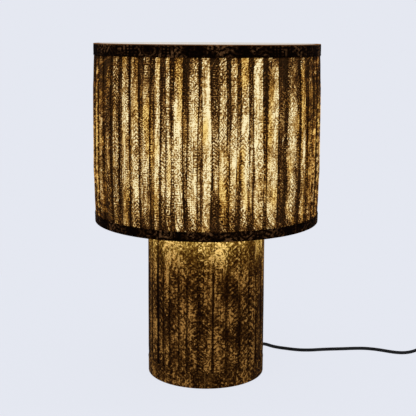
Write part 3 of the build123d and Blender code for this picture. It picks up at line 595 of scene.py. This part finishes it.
# By slot: the name, dark and pale colours, and the grain's scale, the roughness and the grain's depth
plain_finishes = {
    "frame_wire": ("white_powder_coat", (0.6, 0.58, 0.52), (0.72, 0.7, 0.64), 900.0, 0.45, 0.03 * mm),
    "board": ("raw_board", (0.26, 0.17, 0.09), (0.42, 0.3, 0.18), 160.0, 0.85, 0.1 * mm),
    "felt": ("black_felt", (0.01, 0.009, 0.008), (0.035, 0.031, 0.028), 700.0, 0.95, 0.3 * mm),
    "weight_iron": ("cast_iron", (0.03, 0.03, 0.03), (0.075, 0.073, 0.07), 260.0, 0.7, 0.2 * mm),
    "zinc_steel": ("zinc_plate", (0.36, 0.36, 0.35), (0.56, 0.56, 0.53), 240.0, 0.35, 0.02 * mm),
    "holder_plastic": ("holder_thermoplastic", black, soft_black, 700.0, 0.55, 0.03 * mm),
    "insert_white": ("white_glaze", (0.62, 0.6, 0.55), (0.74, 0.72, 0.67), 120.0, 0.2, 0.01 * mm),
    "brass": ("plain_brass", (0.46, 0.29, 0.09), (0.66, 0.45, 0.17), 200.0, 0.3, 0.02 * mm),
    "bulb_metal": ("bulb_cap_metal", (0.5, 0.5, 0.48), (0.68, 0.68, 0.66), 300.0, 0.28, 0.02 * mm),
    "solder": ("solder", (0.36, 0.36, 0.36), (0.56, 0.56, 0.55), 500.0, 0.4, 0.1 * mm),
    "bulb_black_glass": ("black_glass", black, soft_black, 150.0, 0.12, 0.01 * mm),
    "filament": ("lit_rods", (0.85, 0.6, 0.25), (1.0, 0.75, 0.35), 300.0, 0.5, 0.02 * mm),
    "lead_black": ("black_sheath", black, soft_black, 420.0, 0.6, 0.03 * mm),
    "core_brown": ("brown_insulation", (0.06, 0.02, 0.008), (0.1, 0.036, 0.014), 300.0, 0.4, 0.01 * mm),
    "core_blue": ("blue_insulation", (0.008, 0.04, 0.2), (0.016, 0.07, 0.3), 300.0, 0.4, 0.01 * mm),
    "switch_black": ("switch_plastic", black, soft_black, 900.0, 0.4, 0.03 * mm),
    "rocker_black": ("rocker_plastic", (0.02, 0.02, 0.022), (0.05, 0.05, 0.053), 900.0, 0.3, 0.02 * mm),
    "tie_black": ("woven_strap", (0.009, 0.009, 0.01), (0.03, 0.03, 0.032), 900.0, 0.8, 0.15 * mm),
    "nickel": ("nickel_plate", (0.52, 0.5, 0.45), (0.68, 0.66, 0.6), 220.0, 0.22, 0.01 * mm),
}
finish_extras = {
    "board": {"stretch": (1.0, 1.0, 0.25)},
    "tie_black": {"stretch": (3.0, 3.0, 1.0)},
    "lead_black": {"Specular_IOR_Level": 0.15},
}
for metal_slot in ("zinc_steel", "brass", "bulb_metal", "solder", "nickel"):
    finish_extras[metal_slot] = {"Metallic": 1.0}


def make_finishes():
    """Every finish by the name that the record gives its slot."""
    made = {
        "shade_cloth": shade_cloth_finish(),
        "base_cloth": base_cloth_finish(),
        "binding_cloth": binding_finish(),
        "liner_film": liner_finish(),
        "bulb_opal": bulb_finish(),
        "clear_glass": clear_glass_finish(),
    }
    for slot, values in plain_finishes.items():
        made[slot] = grained(*values, **finish_extras.get(slot, {}))
    return made


finishes = make_finishes()


def dress_nodes():
    """Gives every CAD node the finish of its slot."""
    for part in frame["record"]["subparts"]:
        node = frame["nodes"][part["node"]]
        node.data.materials.clear()
        node.data.materials.append(finishes[part["material_slot"]])


def finish_piece(piece, slot, body="lamp", stands_for=()):
    """A new piece's material, body and the nodes that it stands for."""
    piece.data.materials.append(finishes[slot])
    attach(piece, body)
    if stands_for:
        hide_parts(*stands_for)


def mesh_piece(name, points, faces, smooth=True):
    mesh = bpy.data.meshes.new(name)
    mesh.from_pydata(points, [], faces)
    mesh.validate()
    for face in mesh.polygons:
        face.use_smooth = smooth
    piece = bpy.data.objects.new(name, mesh)
    bpy.context.scene.collection.objects.link(piece)
    return piece


def round_point(radius, turn, height):
    """A point in metres, from a radius and height in millimetres and an angle from the front."""
    return (radius * math.sin(turn) * mm, -radius * math.cos(turn) * mm, height * mm)


def store_cloth(piece, stored):
    """Keeps each point's place on the unfolded cloth and its light, for the finishes to read."""
    attribute = piece.data.attributes.new("cloth", "FLOAT_VECTOR", "POINT")
    for entry, value in zip(attribute.data, stored):
        entry.vector = value


# Pleated covers
def pleat_edges(front, start, pitch, radius):
    """Angles from the front where each pleat's crest begins and ends, as the solids have them."""
    round_length = 2 * math.pi * radius
    left = round_length - sum(crest + fold for crest, fold in front)
    count = round(left / pitch)
    share = sum(crest for crest, _ in front) / sum(crest + fold for crest, fold in front)
    others = []
    for i in range(count):
        width = pitch * (1 + 0.22 * math.sin(2.3 * i + 0.4) + 0.12 * math.sin(5.1 * i))
        fold = width * (1 - share) * (1 + 0.25 * math.sin(3.7 * i + 1.0))
        others.append((width - fold, fold))
    fit = left / sum(crest + fold for crest, fold in others)
    pleats = list(front) + [(crest * fit, fold * fit) for crest, fold in others]
    edges = []
    place = math.radians(start) * radius
    for crest, fold in pleats:
        edges.append((place / radius, (place + crest) / radius))
        place += crest + fold
    return edges


# Across one pleat: place as a share of the crest or fold, how far in, and share of its light. The
# lines are drawn for a fold of drawn_depth millimetres, and scaled to the cover's own
drawn_depth = 3.0
crest_line = ((0.0, 0.1, 0.6), (0.06, -0.05, 0.88), (0.3, -0.28, 1.0), (0.65, -0.3, 1.0), (0.94, -0.1, 0.9))
lip_line = ((0.05, 0.02, 0.6), (0.35, 0.3, 0.25), (0.38, 0.7, 0.1), (0.05, 1.0, 0.08))
under_line = ((-0.5, 1.15, 0.08), (-0.56, 1.4, 0.08), (-0.5, 1.65, 0.08), (0.0, 1.9, 0.08))
fold_line = ((0.17, 2.3, 0.25), (0.3, 2.0, 0.85), (0.5, 1.75, 1.0), (0.68, 1.95, 0.85))
rise_line = ((0.83, 2.35, 0.25), (0.92, 1.5, 0.2), (0.97, 0.7, 0.3))


def pleat_section(crest, fold, depth, crest_light, fold_light):
    """Points across one pleat in millimetres: along the drum, inwards, light, and 1 in the fold."""
    scale = depth / drawn_depth
    lip = min(1.0, scale * 1.4)

    def stretch(line, start, width, through, sunk):
        """One stretch of the section, moved to its start and scaled to its width."""
        return [
            (start + share * width, inward * scale, light * through, sunk) for share, inward, light in line
        ]

    section = stretch(crest_line, 0.0, crest, crest_light, 0)
    section += stretch(lip_line + under_line, crest, lip, crest_light, 1)
    section += stretch(fold_line + rise_line, crest, fold, fold_light, 1)
    return section


def smooth_level(levels, height):
    """A smooth curve through (height, value) pairs."""
    for (low, first), (high, second) in zip(levels, levels[1:]):
        if height <= high:
            break
    share = (height - low) / (high - low)
    share = min(1.0, max(0.0, share))
    return first + (second - first) * (share + 0.25 * math.sin(2 * math.pi * share) / math.pi)


def pleated_cloth(name, front, edges, levels, depth, lean, rows, tone, fade, seed, soft):
    """A pleated sheet round a drum: one closed ring of cloth, folded under at every pleat. Gives the
    piece and how long its top edge is unfolded; soft is how far dark seams are lit from beside."""
    draw = random.Random(seed)
    middle = levels[len(levels) // 2][1]
    columns = []
    for i, (left, right) in enumerate(edges):
        following = edges[(i + 1) % len(edges)][0] + (2 * math.pi if i + 1 == len(edges) else 0)
        lights = [draw.uniform(0.6, 0.9), draw.uniform(0.3, 0.6)]
        wave = (draw.uniform(0, 6.28), draw.uniform(0.2, 0.5))
        if i < len(front):
            lights = list(front[i][2:])
        else:
            lights = [light * share for light, share in zip(lights, tone(math.degrees(left)))]
        for along, inward, light, sunk in pleat_section(
            (right - left) * middle, (following - right) * middle, depth, *lights
        ):
            light += soft * (lights[1] - light) * (light < lights[1])
            waves = [(draw.uniform(0, 6.28), draw.uniform(9.0, 30.0)) for _ in range(3)]
            columns.append((i, left + along / middle, inward, light, sunk, wave, waves))
    low, high = levels[0][0], levels[-1][0]
    heights = [low + (high - low) * i / (rows - 1) for i in range(rows)]
    points, stored = [], []
    for height in heights:
        radius = smooth_level(levels, height)
        ends = min(height - low, high - height)
        press = pressed + (1 - pressed) * min(1.0, ends / press_reach)
        unfolded = 0.0
        before = None
        for pleat, angle, inward, light, sunk, (phase, reach), waves in columns:
            sway = lean * math.sin(1.9 * pleat + height / 60)
            sway += reach * math.sin(height / 34 + phase) / middle * press
            turn = angle + sway
            r = radius - max(inward, -0.3) * press
            point = round_point(r, turn, height)
            if before is not None:
                unfolded += math.dist(point, before)
            before = point
            points.append(point)
            ragged = sum(math.sin(height * 6.28 / length + start) for start, length in waves) / 3
            through = min(1.0, light * fade(height, sunk)) * (1 + 0.32 * ragged)
            stored.append((unfolded, height * mm, through))
    count = len(columns)
    faces = []
    for row in range(rows - 1):
        for i in range(count):
            j = (i + 1) % count
            faces.append((row * count + i, row * count + j, (row + 1) * count + j, (row + 1) * count + i))
    piece = mesh_piece(name, points, faces)
    store_cloth(piece, stored)
    thicken = piece.modifiers.new("cloth_thickness", "SOLIDIFY")
    thicken.thickness = cloth * mm
    thicken.offset = 0.0
    return piece, unfolded


# Patches round the sides and back where less light comes through: angle, width in degrees, and share lost
shade_patches = (
    (-60.0, 9.0, 0.5),
    (-80.0, 9.0, 0.35),
    (64.0, 11.0, 0.5),
    (84.0, 9.0, 0.35),
    (150.0, 9.0, 0.3),
    (-105.0, 7.0, 0.25),
)


def shade_tone(angle):
    """Shares of light for a crest and its fold at an angle from the front, away from the measured pleats."""
    share = 1.0
    for centre, width, loss in shade_patches:
        off = (angle - centre + 180) % 360 - 180
        share -= loss * math.exp(-((off / width) ** 2))
    return share, share


def shade_fade(height, sunk):
    """The lit cloth's brightness falls off above and below the bulb, and faster in the folds."""
    up = max(0.0, height - glow_height) / glow_up
    down = max(0.0, glow_height - height) / glow_down
    if sunk:
        return 1 - 0.92 * up**1.1 - 0.74 * down**1.8
    return 1 - 0.38 * up**2 - 0.48 * down**2.2


def base_tone(angle):
    """Painted shade: the fold just before the measured pleats is darkened to a dark line."""
    off = (angle - dark_fold + 180) % 360 - 180
    return 1.0, 1 - 0.9 * math.exp(-((off / dark_fold_width) ** 2))


def base_fade(height, sunk):
    """The folds' dark lines fade upwards, where the shade's light falls on them."""
    return 1 + 5 * max(0.0, height - 150.0) / 70.0 if sunk else 1.0


def make_shade_cover():
    front = [pleat[:2] for pleat in shade_front_pleats]
    edges = pleat_edges(front, shade_front_start, shade_pleat_pitch, shade_radius)
    cover, unfolded = pleated_cloth(
        "pleated_shade_cover",
        shade_front_pleats,
        edges,
        shade_levels,
        shade_depth,
        shade_lean,
        cover_rows,
        shade_tone,
        shade_fade,
        seed=5,
        soft=0.23,
    )
    finish_piece(cover, "shade_cloth", stands_for=["shade_cover"])


def make_base_cover():
    front = [pleat[:2] for pleat in base_front_pleats]
    edges = pleat_edges(front, base_front_start, base_pleat_pitch, base_radius)
    cover, unfolded = pleated_cloth(
        "pleated_base_cover",
        base_front_pleats,
        edges,
        base_levels,
        base_depth,
        base_lean,
        cover_rows,
        base_tone,
        base_fade,
        seed=11,
        soft=0.75,
    )
    finish_piece(cover, "base_cloth", stands_for=["base_cover"])


# Bands
def lathed(name, profile, segments=240, ripple=0.0, seed=1):
    """A closed ring from a closed outline of radius and height in millimetres."""
    draw = random.Random(seed)
    waves = [(draw.randint(9, 60), draw.uniform(0, 6.28)) for _ in range(6)]
    points, stored = [], []
    for radius, height in profile:
        for i in range(segments):
            turn = 2 * math.pi * i / segments
            r = radius + ripple * sum(math.sin(n * turn + phase) for n, phase in waves) / len(waves)
            points.append(round_point(r, turn, height))
            stored.append((radius * turn * mm, height * mm, band_light))
    faces = []
    count = len(profile)
    for k in range(count):
        for i in range(segments):
            j = (i + 1) % segments
            n = (k + 1) % count
            faces.append((k * segments + i, k * segments + j, n * segments + j, n * segments + i))
    piece = mesh_piece(name, points, faces)
    store_cloth(piece, stored)
    return piece


def rounded(corners, radius, steps=4):
    """A closed outline with its corners rounded."""
    outline = []
    for before, corner, after in zip(corners[-1:] + corners[:-1], corners, corners[1:] + corners[:1]):
        c = Vector(corner)
        a, b = Vector(before) - c, Vector(after) - c
        reach = min(radius, 0.45 * a.length, 0.45 * b.length)
        start, end = c + a.normalized() * reach, c + b.normalized() * reach
        for i in range(steps + 1):
            t = i / steps
            outline.append(tuple(start * (1 - t) ** 2 + c * (2 * t * (1 - t)) + end * t**2))
    return outline


def folded_band(name, edge, along, skirt, radius, seed):
    """A binding folded over a rim, in millimetres; along is 1 upwards or -1 downwards."""
    inner, wall, back = binding_inner, binding_wall, binding_back
    outer = radius + wall
    corners = [
        (inner, edge),
        (outer, edge),
        (outer + 0.15, edge + along * skirt * 0.5),
        (outer, edge + along * skirt),
        (radius, edge + along * skirt),
        (radius, edge + along * wall),
        (inner + wall, edge + along * wall),
        (inner + wall, edge + along * back),
        (inner, edge + along * back),
    ]
    return lathed(name, rounded(corners, binding_corner), ripple=binding_ripple, seed=seed)


def stitches(name, radius, height, thread):
    """A round of short sewn stitches, in millimetres, each a little bowed bead."""
    count = round(2 * math.pi * radius / stitch_pitch)
    points, faces = [], []
    rings, sides = 5, 6
    for i in range(count):
        middle = 2 * math.pi * i / count
        base = len(points)
        for k in range(rings):
            share = k / (rings - 1) * 2 - 1
            turn = middle + share * stitch_length / 2 / radius
            thick = thread / 2 * math.sqrt(max(0.12, 1 - share * share))
            lift = stitch_bow * (1 - share * share)
            for s in range(sides):
                angle = 2 * math.pi * s / sides
                r = radius + lift + thick * math.cos(angle)
                z = height + thick * math.sin(angle)
                points.append(round_point(r, turn, z))
        for k in range(rings - 1):
            for s in range(sides):
                n = (s + 1) % sides
                a, b = base + k * sides, base + (k + 1) * sides
                faces.append((a + s, a + n, b + n, b + s))
        faces.append(tuple(base + s for s in reversed(range(sides))))
        faces.append(tuple(base + (rings - 1) * sides + s for s in range(sides)))
    return mesh_piece(name, points, faces)


def make_bands():
    for end, (edge, along, skirt, radius, _, _, seed) in bindings.items():
        band = folded_band(f"shade_{end}_band", edge, along, skirt, radius, seed)
        finish_piece(band, "binding_cloth", stands_for=[f"shade_{end}_binding"])
    for end, (*_, radius, height, _) in bindings.items():
        seam = stitches(f"{end}_band_stitches", radius, height, shade_thread)
        finish_piece(seam, "binding_cloth")
    hem = lathed("base_hem_band", rounded(hem_outline, base_band_corner), ripple=hem_ripple, seed=23)
    finish_piece(hem, "base_cloth", stands_for=["base_hem"])
    cap = lathed("base_top_band", rounded(cap_outline, base_band_corner), ripple=cap_ripple, seed=24)
    finish_piece(cap, "base_cloth", stands_for=["base_cap_band"])
    seam = stitches("base_hem_stitches", *hem_seam, hem_thread)
    finish_piece(seam, "base_cloth")


# The lead
def exit_point(reach):
    return (reach * math.cos(sleeve_azimuth), reach * math.sin(sleeve_azimuth), lead_height)


def switch_point(along):
    x, y = switch_start
    return (x + along * math.cos(switch_heading), y + along * math.sin(switch_heading), switch_lead_height)


def coil_route():
    """The coil's points: half turns that shrink on the table, climb a layer, and grow again on top."""
    x, place = coil_centre[0], coil_centre[1] + coil_radius
    z = coil_level
    side = 1
    radii = [coil_radius - i * coil_pitch / 2 for i in range(coil_half_turns)]
    inner = coil_radius - coil_half_turns * coil_pitch / 2
    spread = 2 / (1 + math.cos(math.pi / coil_steps / 2))
    points = []
    for radius in radii + [inner] + radii[::-1]:
        centre = place - side * radius
        climb = coil_pitch if radius == inner else 0.0
        for i in range(coil_steps):
            turn = math.pi * (i + 0.5) / coil_steps
            share = 0.5 - 0.5 * math.cos(turn)
            reach = radius * spread
            out = side * reach * math.sin(turn)
            back = side * reach * math.cos(turn)
            points.append((x + out, centre + back, z + climb * share))
        z += climb
        place = centre - side * radius
        side = -side
    return points


def lead_route():
    start_y = coil_centre[1] + coil_radius
    end_y = coil_centre[1] - coil_radius - coil_pitch
    x = coil_centre[0] - lead / mm
    route = [exit_point(sleeve_mouth), exit_point(sleeve_mouth + end_straight)]
    route += run_points
    route += [switch_point(-end_straight), switch_point(0), switch_point(switch_length)]
    route += [switch_point(switch_length + end_straight)]
    route += link_points
    route += [(x - end_straight, start_y, coil_level), (x, start_y, coil_level)]
    route += coil_route()
    top = coil_level + coil_pitch
    route += [(x, end_y, top), (x - end_straight, end_y, top)]
    route += tail_points
    route += [(plug_tip[0] + end_straight, plug_tip[1], plug_tip[2]), plug_tip]
    return [tuple(value * mm for value in point) for point in route]


def make_lead():
    points = lead_route()
    curve = bpy.data.curves.new("mains_lead", "CURVE")
    curve.dimensions = "3D"
    curve.bevel_depth = lead / 2
    curve.bevel_resolution = 4
    curve.resolution_u = 6
    spline = curve.splines.new("NURBS")
    spline.points.add(len(points) - 1)
    for entry, point in zip(spline.points, points):
        entry.co = (*point, 1.0)
    spline.order_u = 3
    spline.use_endpoint_u = True
    piece = bpy.data.objects.new("mains_lead", curve)
    bpy.context.scene.collection.objects.link(piece)
    replaced = ["lead_run", "switch_lead", "lead_link", "lead_coil", "lead_tail"]
    finish_piece(piece, "lead_black", stands_for=replaced)
    on_it = ["switch_base", "switch_cover", "switch_rocker", "rocker_pin", "switch_contacts", "switch_screws"]
    on_it += ["coil_tie", "plug_body", "plug_pins", "pin_sleeves"]
    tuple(points[0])


# Floor, light and camera
backdrop = (0.783, 0.807, 0.88, 1.0)


def seen_directly(f):
    """1 for camera, mirror and see-through rays, 0 for the light that falls on the object."""
    rays = f.tree.nodes.new("ShaderNodeLightPath")
    camera, glossy, through = [
        Socket(f, rays.outputs[name]) for name in ("Is Camera Ray", "Is Glossy Ray", "Is Transmission Ray")
    ]
    return f.maths("MAXIMUM", f.maths("MAXIMUM", camera, glossy), through)


def floor_finish():
    """Pale paper with a faint shadow near the lamp, which meets the backdrop without an edge."""
    f = Finish("pale_paper")
    x, y, _ = f.parts(f.object_place())
    near = f.maths("EXPONENT", (x * x + y * y) / -0.05)
    paper = f.node("ShaderNodeBsdfDiffuse", None, {"Color": backdrop})
    plain = f.node("ShaderNodeEmission", None, {"Color": backdrop, "Strength": 1.0})
    mixed = f.node("ShaderNodeMixShader", None, {0: seen_directly(f) * (1 - 0.05 * near), 1: paper, 2: plain})
    f.node("ShaderNodeOutputMaterial", None, {"Surface": mixed})
    return f.material


def make_world():
    world = bpy.data.worlds.new("studio")
    bpy.context.scene.world = world
    world.use_nodes = True
    f = Finish(tree=world.node_tree)
    ambient = f.node("ShaderNodeBackground", None, {"Color": (1.0, 1.0, 1.0, 1.0), "Strength": 0.45})
    paper = f.node("ShaderNodeBackground", None, {"Color": backdrop, "Strength": 1.0})
    mixed = f.node("ShaderNodeMixShader", None, {0: seen_directly(f), 1: ambient, 2: paper})
    f.node("ShaderNodeOutputWorld", None, {"Surface": mixed})


def make_lamp(name, place, size, power):
    light = bpy.data.lights.new(name, "AREA")
    light.size = size
    light.energy = power
    lamp = bpy.data.objects.new(name, light)
    bpy.context.scene.collection.objects.link(lamp)
    lamp.location = place
    lamp.rotation_euler = (Vector((0, 0, 0.2)) - Vector(place)).to_track_quat("-Z", "Y").to_euler()


def make_stage():
    reach = 4.0
    corners = [(-reach, -reach, 0.0), (reach, -reach, 0.0), (reach, reach, 0.0), (-reach, reach, 0.0)]
    floor = mesh_piece("floor", corners, [(0, 1, 2, 3)], smooth=False)
    floor.data.materials.append(floor_finish())
    make_world()
    make_lamp("soft_key", (-1.4, -1.8, 2.0), size=1.6, power=26.0)
    make_lamp("soft_fill", (1.8, -1.2, 1.4), size=1.6, power=9.0)


def make_camera():
    data = bpy.data.cameras.new("camera")
    data.sensor_width = camera_sensor
    data.lens = camera_lens
    camera = bpy.data.objects.new("camera", data)
    bpy.context.scene.collection.objects.link(camera)
    tilt = Matrix.Rotation(math.pi / 2 - camera_pitch, 4, "X")
    camera.matrix_world = Matrix.Translation(camera_place) @ tilt @ Matrix.Rotation(camera_roll, 4, "Z")
    bpy.context.scene.camera = camera


bpy.context.scene.view_settings.view_transform = "Standard"
make_camera()
make_stage()
dress_nodes()
make_lead()
make_shade_cover()
make_base_cover()
make_bands()
